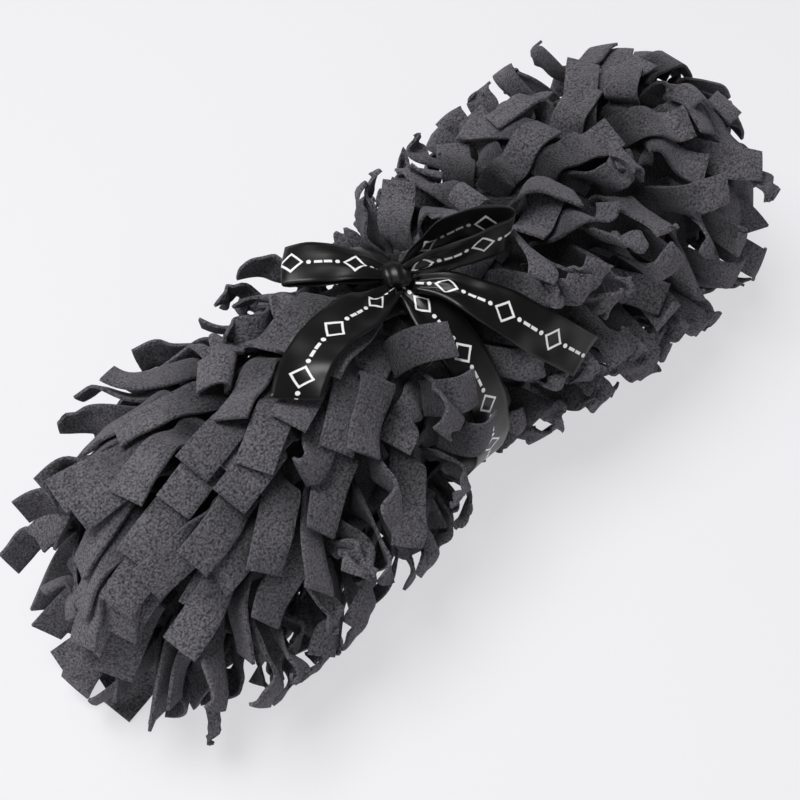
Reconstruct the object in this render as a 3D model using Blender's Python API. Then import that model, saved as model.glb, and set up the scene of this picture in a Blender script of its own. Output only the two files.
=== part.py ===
"""A snuffle mat, rolled up with its pile outwards and tied round the middle with a satin ribbon.

The mat is a flat base with fleece strips sewn all over it. Rolled up it is one solid of its wound form: two
lobes of pile either side of a drawn-in waist, with the step where the last turn ends running along it. The
solid reaches as far as the tips of the strips do, and carries them as rows of tufts. The ribbon is a band
round the waist, a knot on top, two loops and two free tails.

Metres, +Z up. The roll lies along X on the plane z = 0, and the origin is under the middle of its box.
"""

import math

import bmesh
import bpy
from mathutils import Matrix, Vector

# Driving dimensions
ROLL_LENGTH = 0.760
AXIS_HEIGHT = 0.125
WAIST_X = -0.028
RIBBON_WIDTH = 0.038
RIBBON_THICKNESS = 0.001
BAND_CLEARANCE = 0.001
SEAT_GAP = 0.0004

# The roll's outer form. x is along the roll; half_width is to each side of its axis, rise above and drop
# below it. Where the drop is more than the axis height the pile lies flat on the surface.
SECTION_COLUMNS = ("x", "half_width", "rise", "drop")
SECTIONS = (
    (-0.380, 0.076, 0.068, 0.112),
    (-0.370, 0.093, 0.084, 0.124),
    (-0.350, 0.107, 0.099, 0.130),
    (-0.320, 0.117, 0.110, 0.133),
    (-0.270, 0.125, 0.122, 0.134),
    (-0.220, 0.132, 0.131, 0.135),
    (-0.170, 0.134, 0.136, 0.135),
    (-0.120, 0.134, 0.135, 0.134),
    (-0.085, 0.128, 0.127, 0.129),
    (-0.052, 0.108, 0.110, 0.106),
    (-0.004, 0.108, 0.110, 0.106),
    (0.045, 0.126, 0.126, 0.129),
    (0.100, 0.131, 0.130, 0.134),
    (0.160, 0.134, 0.137, 0.135),
    (0.220, 0.134, 0.138, 0.135),
    (0.270, 0.133, 0.136, 0.135),
    (0.310, 0.120, 0.123, 0.131),
    (0.345, 0.102, 0.101, 0.123),
    (0.368, 0.084, 0.082, 0.113),
    (0.380, 0.066, 0.062, 0.098),
)

# The pile, as tufts a few strips wide: in rows that lean outwards from the waist, like shingles
COLUMNS_PER_TUFT = 4
TUFTS_AROUND = 12
AROUND = COLUMNS_PER_TUFT * TUFTS_AROUND
ROWS_NEAR = 5
ROWS_FAR = 6
TUFT_DEPTH = 0.015
TUFT_ACROSS = (0.0, 0.75, 1.0, 0.65)
# Along a tuft, from its root to just past its tips: the share of the row, and how proud it stands
TUFT_ALONG = ((0.0, 0.20), (0.45, 0.75), (0.85, 1.0), (0.97, 0.30))
END_MARGIN = 0.012
# Underneath, the pile is pressed flat by the roll's own weight
PRESSED_FROM = -0.70
PRESSED_TO = -0.90

# The winding: the last turn's edge stands up as a step along the roll, and shows as a spiral in the ends
LAP_ANGLE = math.radians(22)
LAP_STEP = 0.007
SPIRAL_PITCH = 0.034
SPIRAL_RELIEF = 0.006
END_RING_SHARES = (0.90, 0.78, 0.66, 0.54, 0.42, 0.30, 0.18)
END_DISH = 0.012
END_ROUNDING = 0.010

# The groove that the ribbon draws into the waist
GROOVE_HALF_WIDTH = 0.021
GROOVE_DEPTH = 0.005
GROOVE_SHOULDER = 0.007

# The bow
KNOT_SIZE = (0.013, 0.012, 0.0085)
KNOT_OFF_AXIS_Y = 0.004
KNOT_PLEATS = 7
KNOT_PLEAT_DEPTH = 0.07
GATHERED_WIDTH = 0.014
STANDING_START = 0.010
STEPS_PER_ROW = 4
RIBBON_COLUMNS = 4
LEFT_LOOP_HEADING = math.radians(134)
RIGHT_LOOP_HEADING = math.radians(-29)
LEFT_TAIL_HEADING = math.radians(198)
RIGHT_TAIL_HEADING = math.radians(-68)
TAIL_START_UP = -0.0045
# out and side are from the knot's middle, along and across the loop's heading, and up is above it. lean is
# the angle of the ribbon's width from level, so that at 0 it lies flat and at 90 it stands on its edge.
LOOP_COLUMNS = ("out", "side", "up", "lean", "width")
LEFT_LOOP = (
    (0.000, 0.000, 0.005, 0, GATHERED_WIDTH),
    (0.022, 0.000, 0.010, -4, 0.024),
    (0.044, 0.000, 0.014, -6, 0.031),
    (0.066, 0.001, 0.016, -6, 0.036),
    (0.082, 0.001, 0.014, -4, RIBBON_WIDTH),
    (0.087, 0.001, 0.0105, -2, RIBBON_WIDTH),
    (0.082, 0.001, 0.007, 0, RIBBON_WIDTH),
    (0.064, 0.000, 0.007, 0, RIBBON_WIDTH),
    (0.042, 0.000, 0.006, 0, 0.032),
    (0.022, 0.000, 0.002, 0, 0.022),
    (0.000, 0.000, -0.003, 0, GATHERED_WIDTH),
)
RIGHT_LOOP = (
    (0.000, 0.003, 0.003, 80, STANDING_START),
    (0.020, 0.009, 0.008, 85, 0.020),
    (0.042, 0.013, 0.015, 90, 0.032),
    (0.066, 0.012, 0.022, 90, RIBBON_WIDTH),
    (0.085, 0.007, 0.024, 90, RIBBON_WIDTH),
    (0.094, 0.000, 0.024, 90, RIBBON_WIDTH),
    (0.087, -0.006, 0.024, 90, RIBBON_WIDTH),
    (0.066, -0.008, 0.022, 90, RIBBON_WIDTH),
    (0.042, -0.007, 0.015, 90, 0.032),
    (0.020, -0.003, 0.008, 85, 0.020),
    (0.000, -0.002, 0.003, 80, STANDING_START),
)
# The tails lie on the pile. angle is round the roll from its top, towards -Y; lift is above the pile.
TAIL_COLUMNS = ("x", "angle", "lift", "width")
LEFT_TAIL = (
    (-0.058, 3.5, 0.0070, 0.024),
    (-0.080, 4.5, 0.0040, 0.034),
    (-0.108, 5.0, 0.0030, RIBBON_WIDTH),
    (-0.134, 7.0, 0.0030, RIBBON_WIDTH),
    (-0.156, 11.0, 0.0030, RIBBON_WIDTH),
    (-0.172, 15.5, 0.0030, RIBBON_WIDTH),
)
RIGHT_TAIL = (
    (-0.008, 16.0, 0.0060, 0.024),
    (0.002, 27.0, 0.0050, 0.034),
    (0.014, 38.0, 0.0040, RIBBON_WIDTH),
    (0.027, 49.0, 0.0030, RIBBON_WIDTH),
    (0.043, 60.0, 0.0030, RIBBON_WIDTH),
    (0.059, 70.0, 0.0030, RIBBON_WIDTH),
)

FLEECE_GREY = (0.085, 0.082, 0.090, 1.0)
SATIN_BLACK = (0.010, 0.010, 0.012, 1.0)


def clear_scene():
    for obj in list(bpy.data.objects):
        bpy.data.objects.remove(obj)


def material(name, colour, roughness):
    made = bpy.data.materials.new(name)
    made.use_nodes = True
    shader = made.node_tree.nodes["Principled BSDF"]
    shader.inputs["Base Color"].default_value = colour
    shader.inputs["Roughness"].default_value = roughness
    shader.inputs["Metallic"].default_value = 0.0
    return made


def smooth(share):
    """0 to 1 with level ends."""
    share = min(max(share, 0.0), 1.0)
    return share * share * (3 - 2 * share)


def uneven(row, column):
    """A fixed share from 0 to 1 for each tuft, so that no two neighbours are alike."""
    wave = math.sin(12.9898 * row + 78.233 * column) * 43.758
    return wave - math.floor(wave)


def table_value(rows, columns, key, at, wanted):
    """The value of column `wanted` where column `key` is `at`, smoothly between two rows."""
    k, w = columns.index(key), columns.index(wanted)
    for before, after in zip(rows, rows[1:]):
        if at <= after[k]:
            share = smooth((at - before[k]) / (after[k] - before[k]))
            return before[w] + (after[w] - before[w]) * share
    return rows[-1][w]


def envelope(x, angle):
    """How far the pile's tips reach from the axis at x, at this angle from the top towards -Y."""
    half_width, rise, drop = (
        table_value(SECTIONS, SECTION_COLUMNS, "x", x, name) for name in SECTION_COLUMNS[1:]
    )
    height = rise if math.cos(angle) > 0 else drop
    return 1 / math.hypot(math.sin(angle) / half_width, math.cos(angle) / height)


def lap(angle):
    """The winding's own radius falls slowly round the roll and steps back up at the last turn's edge."""
    turned = ((angle - LAP_ANGLE) / (2 * math.pi)) % 1.0
    return -LAP_STEP * turned


def pressed(angle):
    """0 where the pile stands freely, to 1 underneath."""
    return smooth((PRESSED_FROM - math.cos(angle)) / (PRESSED_FROM - PRESSED_TO))


def groove(x):
    """How far the ribbon draws the pile in, at x."""
    past = (abs(x - WAIST_X) - GROOVE_HALF_WIDTH) / GROOVE_SHOULDER
    return GROOVE_DEPTH * (1 - smooth(past))


def on_axis(x, angle, radius):
    """The point at this angle and distance from the roll's axis, or on the surface that it lies on."""
    y = -radius * math.sin(angle)
    z = AXIS_HEIGHT + radius * math.cos(angle)
    return Vector((x, y, max(z, 0.0)))


def pile_stations():
    """(x, how proud the tufts stand, row number) of each ring of the side, from the near end to the far."""
    half = ROLL_LENGTH / 2
    near_start, far_start = WAIST_X - 0.032, WAIST_X + 0.032
    near_pitch = (near_start + half - END_MARGIN) / ROWS_NEAR
    far_pitch = (half - END_MARGIN - far_start) / ROWS_FAR
    near = [
        (near_start - (row + share) * near_pitch, proud, row)
        for row in range(ROWS_NEAR)
        for share, proud in TUFT_ALONG
    ]
    far = [
        (far_start + (row + share) * far_pitch, proud, row + ROWS_NEAR)
        for row in range(ROWS_FAR)
        for share, proud in TUFT_ALONG
    ]
    waist = [
        (WAIST_X + side * at, None, 0)
        for side, at in ((-1, GROOVE_HALF_WIDTH), (0, 0.0), (1, GROOVE_HALF_WIDTH))
    ]
    return sorted(near + waist + far)


def pile_ring(x, proud, row):
    points = []
    for column in range(AROUND):
        angle = 2 * math.pi * column / AROUND
        radius = envelope(x, angle)
        if proud is None:
            radius -= groove(x)
        else:
            shifted = column + (row % 2) * COLUMNS_PER_TUFT // 2
            tuft, place = divmod(shifted % AROUND, COLUMNS_PER_TUFT)
            stands = proud * TUFT_ACROSS[place] * (0.55 + 0.45 * uneven(row, tuft))
            hollow = lap(angle) - TUFT_DEPTH * (1 - stands)
            radius += hollow * (1 - pressed(angle))
        points.append(on_axis(x, angle, radius))
    return points


def end_ring(x, share, side):
    """A ring of a wound end: dished towards the middle, with the spiral of the turns in it."""
    points = []
    for column in range(AROUND):
        angle = 2 * math.pi * column / AROUND
        radius = share * (envelope(x, angle) + lap(angle) - END_ROUNDING)
        turn = (radius / SPIRAL_PITCH + side * angle / (2 * math.pi)) % 1.0
        inward = END_DISH * (1 - share) + (SPIRAL_RELIEF * turn if share < 1 else 0)
        points.append(on_axis(x - side * inward, angle, radius))
    return points


def link(name, mesh, finish):
    mesh.materials.append(finish)
    obj = bpy.data.objects.new(name, mesh)
    bpy.context.scene.collection.objects.link(obj)
    return obj


def mesh_of_rings(name, rings, closed=False, poles=None):
    """A closed mesh through rings of points. Its ends are filled, or drawn to a pole, or joined together."""
    form = bmesh.new()
    loops = [[form.verts.new(point) for point in ring] for ring in rings]
    count = len(rings[0])
    pairs = list(zip(loops, loops[1:])) + ([(loops[-1], loops[0])] if closed else [])
    for before, after in pairs:
        for i in range(count):
            j = (i + 1) % count
            form.faces.new((before[i], before[j], after[j], after[i]))
    if poles:
        for pole, ring in zip(poles, (loops[0], loops[-1])):
            tip = form.verts.new(pole)
            for i in range(count):
                form.faces.new((ring[i], ring[(i + 1) % count], tip))
    elif not closed:
        form.faces.new(loops[0])
        form.faces.new(loops[-1])
    bmesh.ops.recalc_face_normals(form, faces=form.faces)
    bmesh.ops.triangulate(form, faces=form.faces)
    mesh = bpy.data.meshes.new(name)
    form.to_mesh(mesh)
    form.free()
    return mesh


def mat_roll(finish):
    half = ROLL_LENGTH / 2
    side = [pile_ring(*station) for station in pile_stations()]
    near = [end_ring(-half, share, -1) for share in reversed(END_RING_SHARES)]
    far = [end_ring(half, share, 1) for share in END_RING_SHARES]
    outer = [end_ring(end * half, 1, end) for end in (-1, 1)]
    poles = [Vector((end * (half - END_DISH), 0, AXIS_HEIGHT)) for end in (-1, 1)]
    mesh = mesh_of_rings("mat_roll", near + [outer[0]] + side + [outer[1]] + far, poles=poles)
    return link("mat_roll", mesh, finish)


def smooth_line(points):
    """Points on a smooth curve through the given ones, STEPS_PER_ROW to each stretch."""
    ends = [2 * points[0] - points[1], *points, 2 * points[-1] - points[-2]]
    line = []
    for a, b, c, d in zip(ends, ends[1:], ends[2:], ends[3:]):
        for step in range(STEPS_PER_ROW):
            t = step / STEPS_PER_ROW
            line.append(
                0.5 * (2 * b + (c - a) * t + (2 * a - 5 * b + 4 * c - d) * t**2 + (3 * b - a - 3 * c + d) * t**3)
            )
    return [*line, points[-1]]


def ribbon(name, places, acrosses, widths, finish, closed=False):
    """A flat ribbon along places, with its width laid as acrosses say and as great as widths say."""
    rings = []
    for i, (place, across, width) in enumerate(zip(places, acrosses, widths)):
        before = places[i - 1] if i or closed else place
        after = places[(i + 1) % len(places)] if i + 1 < len(places) or closed else place
        along = (after - before).normalized()
        out = across.cross(along).normalized()
        across = along.cross(out)
        shares = [c / (RIBBON_COLUMNS - 1) - 0.5 for c in range(RIBBON_COLUMNS)]
        top = [place + across * width * share + out * RIBBON_THICKNESS / 2 for share in shares]
        bottom = [place + across * width * share - out * RIBBON_THICKNESS / 2 for share in reversed(shares)]
        rings.append(top + bottom)
    return link(name, mesh_of_rings(name, rings, closed=closed), finish)


def band_radius(angle):
    return envelope(WAIST_X, angle) - GROOVE_DEPTH + BAND_CLEARANCE


def knot_middle():
    top = AXIS_HEIGHT + band_radius(0) + RIBBON_THICKNESS / 2 + SEAT_GAP
    return Vector((WAIST_X, KNOT_OFF_AXIS_Y, top + KNOT_SIZE[2]))


def ribbon_band(finish):
    angles = [2 * math.pi * i / AROUND for i in range(AROUND)]
    places = [on_axis(WAIST_X, angle, band_radius(angle)) for angle in angles]
    acrosses = [Vector((1, 0, 0))] * AROUND
    return ribbon("ribbon_band", places, acrosses, [RIBBON_WIDTH] * AROUND, finish, closed=True)


def bow_knot(finish):
    """A small pleated knot, flattened where it sits on the band."""
    rings = []
    for lift in (-0.97, -0.80, -0.45, 0.0, 0.45, 0.80, 0.97):
        size = math.sqrt(1 - lift * lift)
        ring = []
        for column in range(AROUND // 2):
            angle = 4 * math.pi * column / AROUND
            pleat = 1 - KNOT_PLEAT_DEPTH * (0.5 + 0.5 * math.cos(KNOT_PLEATS * angle + 2 * lift))
            ring.append(
                knot_middle()
                + Vector(
                    (
                        KNOT_SIZE[0] * size * pleat * math.cos(angle),
                        KNOT_SIZE[1] * size * pleat * math.sin(angle),
                        KNOT_SIZE[2] * lift,
                    )
                )
            )
        rings.append(ring)
    return link("bow_knot", mesh_of_rings("bow_knot", rings), finish)


def beside_knot(heading, up):
    """How far out from the knot's middle a ribbon starts, in this heading and this far above the middle."""
    reach = 1 / math.hypot(math.cos(heading) / KNOT_SIZE[0], math.sin(heading) / KNOT_SIZE[1])
    nearest = max(abs(up) - RIBBON_THICKNESS / 2, 0) / KNOT_SIZE[2]
    return reach * math.sqrt(1 - nearest**2) + SEAT_GAP


def bow_loop(name, heading, rows, finish):
    """A loop that leaves the knot, turns over and comes back to it."""
    ahead = Vector((math.cos(heading), math.sin(heading), 0))
    aside = Vector((-math.sin(heading), math.cos(heading), 0))
    upward = Vector((0, 0, 1))
    places, acrosses, widths = [], [], []
    for out, side, up, lean, width in rows:
        reach = out or beside_knot(heading, up)
        places.append(knot_middle() + ahead * reach + aside * side + upward * up)
        acrosses.append(aside * math.cos(math.radians(lean)) + upward * math.sin(math.radians(lean)))
        widths.append(Vector((width, 0, 0)))
    places, acrosses, widths = smooth_line(places), smooth_line(acrosses), smooth_line(widths)
    return ribbon(name, places, acrosses, [width.x for width in widths], finish)


def bow_tail(name, heading, rows, finish):
    """A free tail that leaves the knot and lies over the pile."""
    ahead = Vector((math.cos(heading), math.sin(heading), 0))
    upward = Vector((0, 0, 1))
    places = [knot_middle() + ahead * beside_knot(heading, TAIL_START_UP) + upward * TAIL_START_UP]
    faces = [upward]
    widths = [Vector((GATHERED_WIDTH, 0, 0))]
    for x, degrees, lift, width in rows:
        angle = math.radians(degrees)
        places.append(on_axis(x, angle, envelope(x, angle) + lift))
        faces.append(Vector((0, -math.sin(angle), math.cos(angle))))
        widths.append(Vector((width, 0, 0)))
    places, faces, widths = smooth_line(places), smooth_line(faces), smooth_line(widths)
    acrosses = [
        (places[min(i + 1, len(places) - 1)] - places[max(i - 1, 0)]).cross(face)
        for i, face in enumerate(faces)
    ]
    return ribbon(name, places, acrosses, [width.x for width in widths], finish)


def centre_box():
    """The tufts are uneven, so the whole is evened out about the origin."""
    meshes = [obj.data for obj in bpy.data.objects]
    for axis in (0, 1):
        places = [vertex.co[axis] for mesh in meshes for vertex in mesh.vertices]
        shift = Vector((0, 0, 0))
        shift[axis] = -(min(places) + max(places)) / 2
        for mesh in meshes:
            mesh.transform(Matrix.Translation(shift))


def main():
    clear_scene()
    fleece = material("grey_fleece", FLEECE_GREY, 0.95)
    satin = material("black_satin", SATIN_BLACK, 0.35)
    mat_roll(fleece)
    ribbon_band(satin)
    bow_knot(satin)
    bow_loop("bow_loop_left", LEFT_LOOP_HEADING, LEFT_LOOP, satin)
    bow_loop("bow_loop_right", RIGHT_LOOP_HEADING, RIGHT_LOOP, satin)
    bow_tail("bow_tail_left", LEFT_TAIL_HEADING, LEFT_TAIL, satin)
    bow_tail("bow_tail_right", RIGHT_TAIL_HEADING, RIGHT_TAIL, satin)
    centre_box()


main()
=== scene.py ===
# %% [markdown]
# # A rolled snuffle mat, tied with a satin ribbon
# A snuffle mat is a base covered all over in strips of fleece, for hiding a dog's food in. This one is
# rolled up with its strips outwards and drawn in at the middle by a ribbon, so it has two lobes of pile and
# a waist. The construction model gives the whole roll's shape and size. Here each strip becomes a piece of
# cloth of its own.

import math

import bpy
import numpy as np
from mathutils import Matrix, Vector
from mathutils.bvhtree import BVHTree


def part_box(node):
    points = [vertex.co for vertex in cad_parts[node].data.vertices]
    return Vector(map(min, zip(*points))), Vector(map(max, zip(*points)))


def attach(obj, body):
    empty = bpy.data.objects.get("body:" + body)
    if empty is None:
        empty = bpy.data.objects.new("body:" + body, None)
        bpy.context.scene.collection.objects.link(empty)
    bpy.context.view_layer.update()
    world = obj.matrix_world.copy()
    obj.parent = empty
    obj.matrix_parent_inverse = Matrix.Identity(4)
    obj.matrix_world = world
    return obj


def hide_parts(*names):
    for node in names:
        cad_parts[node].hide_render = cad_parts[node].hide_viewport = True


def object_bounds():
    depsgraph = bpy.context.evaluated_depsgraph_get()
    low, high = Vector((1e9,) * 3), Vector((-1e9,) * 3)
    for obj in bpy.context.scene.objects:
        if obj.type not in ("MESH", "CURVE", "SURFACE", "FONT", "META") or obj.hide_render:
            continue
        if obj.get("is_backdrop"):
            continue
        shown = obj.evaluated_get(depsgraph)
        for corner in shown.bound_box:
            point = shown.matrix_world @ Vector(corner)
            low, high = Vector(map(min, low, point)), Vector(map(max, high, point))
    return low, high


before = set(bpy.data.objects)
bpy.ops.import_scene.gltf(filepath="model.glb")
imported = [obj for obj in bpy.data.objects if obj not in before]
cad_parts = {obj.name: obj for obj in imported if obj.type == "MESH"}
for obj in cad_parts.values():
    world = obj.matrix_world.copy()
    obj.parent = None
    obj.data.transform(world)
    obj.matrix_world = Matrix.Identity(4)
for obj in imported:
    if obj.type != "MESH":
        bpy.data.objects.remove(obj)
cad_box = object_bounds()
band_low, band_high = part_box("ribbon_band")
WAIST_X = (band_low[0] + band_high[0]) / 2
AXIS_Y = (band_low[1] + band_high[1]) / 2
AXIS_Z = 0.125  # about a lobe's radius above the floor
BAND_RADIUS = (band_high[1] - band_low[1]) / 2
RIBBON_WIDTH = band_high[0] - band_low[0]
print(f"waist at x {WAIST_X:.4f}, axis at y {AXIS_Y:.4f}")
print(f"band radius {BAND_RADIUS:.4f}, ribbon {RIBBON_WIDTH:.4f} wide")

# %% [markdown]
# ## The camera
# The roll is looked down on from the front left, a little above half a right angle. The camera is placed by
# its turn about the roll, its height as an angle, and its distance from the point that it aims at.

# %% Place the camera
CAMERA_TURN, CAMERA_RISE = math.radians(-46), math.radians(54)
CAMERA_AIM, CAMERA_DISTANCE = Vector((-0.0394, -0.0089, 0.1)), 1.23
CAMERA_LENS, CAMERA_SENSOR = 65, 36  # millimetres
towards_camera = Vector((
    math.sin(CAMERA_TURN) * math.cos(CAMERA_RISE),
    -math.cos(CAMERA_TURN) * math.cos(CAMERA_RISE),
    math.sin(CAMERA_RISE),
))
bpy.ops.object.select_all(action="DESELECT")
bpy.ops.object.camera_add(
    location=CAMERA_AIM + towards_camera * CAMERA_DISTANCE,
    rotation=towards_camera.to_track_quat("Z", "Y").to_euler(),
)
camera = bpy.context.object
camera.data.lens = CAMERA_LENS
camera.data.sensor_width = CAMERA_SENSOR
bpy.context.scene.camera = camera
print("camera at", [round(value, 3) for value in camera.location])

# %% [markdown]
# ## The wound base
# Under the strips is the mat's own base, a cloth wound up on itself. It could be left as the construction
# solid, but that reaches out to the strips' tips. So it is a slimmer roll, turned from a short table of
# radii, a little flatter from side to side than it is high. The strips are sewn to it and rest on it.

# %% Turn the wound base from its table
BASE_LEFT, BASE_RIGHT = -0.322, 0.338
BASE_RADIUS = 0.098
BASE_FLATNESS = 0.79
BASE_TABLE = np.array([
    # x, radius
    (BASE_LEFT, 0.030),
    (BASE_LEFT + 0.008, 0.058),
    (BASE_LEFT + 0.025, 0.079),
    (BASE_LEFT + 0.060, 0.091),
    (BASE_LEFT + 0.100, BASE_RADIUS),
    (WAIST_X - 0.060, BASE_RADIUS),
    (WAIST_X - 0.025, 0.088),
    (WAIST_X + 0.025, 0.088),
    (WAIST_X + 0.060, BASE_RADIUS - 0.002),
    (BASE_RIGHT - 0.140, BASE_RADIUS + 0.006),
    (BASE_RIGHT - 0.060, BASE_RADIUS + 0.006),
    (BASE_RIGHT - 0.025, 0.094),
    (BASE_RIGHT - 0.008, 0.078),
    (BASE_RIGHT, 0.044),
])
AROUND = 64
SEAM_GAP = 1e-5


def base_radius(x):
    return np.interp(x, BASE_TABLE[:, 0], BASE_TABLE[:, 1])


def around_axis(x, angle, radius, flatness=1.0):
    """The point at this angle from the top, towards -Y, and at this distance from the roll's axis."""
    sideways, up = flatness * radius * math.sin(angle), radius * math.cos(angle)
    return np.array([x, AXIS_Y - sideways, AXIS_Z + up])


def select_only(*objects):
    bpy.ops.object.select_all(action="DESELECT")
    for obj in objects:
        obj.select_set(True)
    bpy.context.view_layer.objects.active = objects[0]


def grid_sheet(name, rows):
    """A grid of quads whose points are rows, a list of equally long lists of places."""
    rows = np.array(rows, dtype=float)
    bpy.ops.object.select_all(action="DESELECT")
    bpy.ops.mesh.primitive_grid_add(
        x_subdivisions=rows.shape[1] - 1, y_subdivisions=rows.shape[0] - 1, size=1, location=(0, 0, 0)
    )
    sheet = bpy.context.object
    sheet.name = sheet.data.name = name
    sheet.data.vertices.foreach_set("co", rows.reshape(-1))
    sheet.data.update()
    return sheet


def close_seams(sheet):
    """Joins the points of a sheet that meet, and turns its faces outwards."""
    select_only(sheet)
    bpy.ops.object.mode_set(mode="EDIT")
    bpy.ops.mesh.select_all(action="SELECT")
    bpy.ops.mesh.remove_doubles(threshold=SEAM_GAP)
    bpy.ops.mesh.normals_make_consistent(inside=False)
    bpy.ops.object.mode_set(mode="OBJECT")


angles = np.linspace(0, 2 * math.pi, AROUND + 1)
base = grid_sheet(
    "wound_base",
    [[around_axis(x, angle, radius, BASE_FLATNESS) for angle in angles] for x, radius in BASE_TABLE],
)
close_seams(base)
print("wound base", len(base.data.vertices), "points")

# %% [markdown]
# ## One fleece strip, and where each is sewn
# The strips are cut from fleece, 29 mm wide, with square ends. One is modelled as a small grid and then
# copied, each copy with its own mesh. They are sewn on evenly, which a golden-angle spiral gives on a round
# form. Near the ribbon they are pressed down and lean away from it, and under the roll they are pressed flat.
# Each leans, turns and curls a little differently, and those of the right-hand lobe more so, as if ruffled.

# %% Model one strip
STRIP_WIDTH = 0.029
STRIP_THICKNESS = 0.0026
STRIP_ROWS, STRIP_COLUMNS = 13, 3

bpy.ops.object.select_all(action="DESELECT")
bpy.ops.mesh.primitive_grid_add(
    x_subdivisions=STRIP_COLUMNS - 1, y_subdivisions=STRIP_ROWS - 1, size=1, location=(0, 0, 0)
)
strip = bpy.context.object
strip.name = "fleece_strip"
print("one strip has", len(strip.data.vertices), "points")

# %% List where each strip is sewn
LOBES = (
    # strips, from x, to x, strip length, lean from upright, and how unevenly they spread, turn and curl
    (192, WAIST_X - 0.001, BASE_LEFT + 0.001, 0.102, 1.05, 0.12, 0.35, 0.2),
    (214, WAIST_X + 0.001, BASE_RIGHT - 0.001, 0.096, 0.55, 0.24, 0.75, 0.9),
)
GOLDEN_ANGLE = math.pi * (3 - math.sqrt(5))
SPIRAL_STRAY = 0.08
LEAN_STRAY = 0.25
SHORTEST, LONGEST = 0.93, 1.05
SLOPE_STEP, STEEP = 0.002, 1.5
WAIST_LEAN, WAIST_REACH = 0.5, 0.045
UNDERSIDE_LEAN, UNDERSIDE_TURN, UNDERSIDE_CALM = 0.60, 1.6, 0.7
MOST_LEAN = 1.42
CLUMP = 0.30
# Each wave of clumps: how fast it turns round the roll and along it, and how it differs between the lobes.
CLUMP_WAVES = ((2.1, 19, 1.3), (1.3, -31, 1.0))
STITCH_HEIGHT = 0.003
AREA_STEPS = 400
NEARLY_ALONG = 0.95
chance = np.random.default_rng(5)


def unit(vector):
    return vector / np.linalg.norm(vector)


def drift_at(x, angle, outward):
    """How far the strips of one clump drift sideways together, by where they are sewn."""
    (round_1, along_1, shift_1), (round_2, along_2, shift_2) = CLUMP_WAVES
    first = math.sin(round_1 * angle + along_1 * x + shift_1 * outward)
    return CLUMP * first * math.sin(round_2 * angle + along_2 * x + shift_2 * outward)


def sewn_strips(count, start, end, length, lean, spread, turn, curl):
    """Yields (base, along, across, length, curl) for each strip from the waist at start to the roll's end."""
    outward = math.copysign(1, end - start)
    xs = np.linspace(start, end, AREA_STEPS)
    radii = base_radius(xs)
    share = np.concatenate([[0], np.cumsum(np.hypot(np.diff(xs), np.diff(radii)) * radii[1:])])
    for i in range(count):
        x = float(np.interp((i + 0.5) / count, share / share[-1], xs))
        angle = GOLDEN_ANGLE * i + chance.uniform(-SPIRAL_STRAY, SPIRAL_STRAY)
        slope = float(base_radius(x + SLOPE_STEP) - base_radius(x - SLOPE_STEP)) / (2 * SLOPE_STEP)
        normal = unit(np.array([-slope, -math.sin(angle), math.cos(angle)]))
        outwards = unit(np.array([outward, 0, 0]) - normal * normal[0] * outward)
        near_waist = math.exp(-(((x - start) / WAIST_REACH) ** 2))
        level = max(0.0, 1 - abs(slope) / STEEP)
        tilt = lean * chance.uniform(1 - LEAN_STRAY, 1 + LEAN_STRAY) * level + WAIST_LEAN * near_waist
        underneath = min(1.0, max(0.0, -math.cos(angle) * UNDERSIDE_TURN))
        tilt = min(tilt + UNDERSIDE_LEAN * underneath, MOST_LEAN)
        sideways = chance.normal(0, spread) + drift_at(x, angle, outward)
        along = normal * math.cos(tilt) + outwards * math.sin(tilt)
        along = unit(along + np.cross(normal, outwards) * sideways * (1 - UNDERSIDE_CALM * underneath))
        across = unit(np.cross(along, outwards if abs(along @ outwards) < NEARLY_ALONG else normal))
        turned = chance.normal(0, turn)
        across = across * math.cos(turned) + np.cross(along, across) * math.sin(turned)
        base_at = around_axis(x, angle, float(base_radius(x)), BASE_FLATNESS) + normal * STITCH_HEIGHT
        yield base_at, along, across, length * chance.uniform(SHORTEST, LONGEST), curl * chance.normal(0, 1)


sewn = [place for lobe in LOBES for place in sewn_strips(*lobe)]
print(len(sewn), "strips,", STRIP_WIDTH, "wide")

# %% Copy the strip to each place and join the copies


def lay_strip(base_at, along, across, length, curl):
    """A copy of the strip from base_at, along and across as given, curled by so many radians.

    Its points keep two numbers for its material: dye, the same all over it, and reach, 0 where it is sewn
    and 1 at its tip, by which the material darkens the strip towards its root as painted shade.
    """
    copy = strip.copy()
    copy.data = strip.data.copy()
    bpy.context.scene.collection.objects.link(copy)
    step, bend = length / (STRIP_ROWS - 1), curl / STRIP_ROWS
    shares = [column / (STRIP_COLUMNS - 1) - 0.5 for column in range(STRIP_COLUMNS)]
    at, heading, rows = np.array(base_at), np.array(along), []
    for row in range(STRIP_ROWS):
        rows.append([at + across * STRIP_WIDTH * share for share in shares])
        if row:
            heading = heading * math.cos(bend) + np.cross(across, heading) * math.sin(bend)
        at = at + heading * step
    copy.data.vertices.foreach_set("co", np.array(rows).reshape(-1))
    dye = copy.data.attributes.new("dye", "FLOAT", "POINT")
    dye.data.foreach_set("value", np.full(STRIP_ROWS * STRIP_COLUMNS, chance.uniform(0, 1)))
    reach = copy.data.attributes.new("reach", "FLOAT", "POINT")
    reach.data.foreach_set("value", np.repeat(np.linspace(0, 1, STRIP_ROWS), STRIP_COLUMNS))
    return copy


pile_strips = [lay_strip(*place) for place in sewn]
select_only(*pile_strips)
bpy.ops.object.join()
pile = bpy.context.object
pile.name = pile.data.name = "pile"
bpy.data.objects.remove(strip)
print("pile", len(pile.data.vertices), "points")

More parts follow.
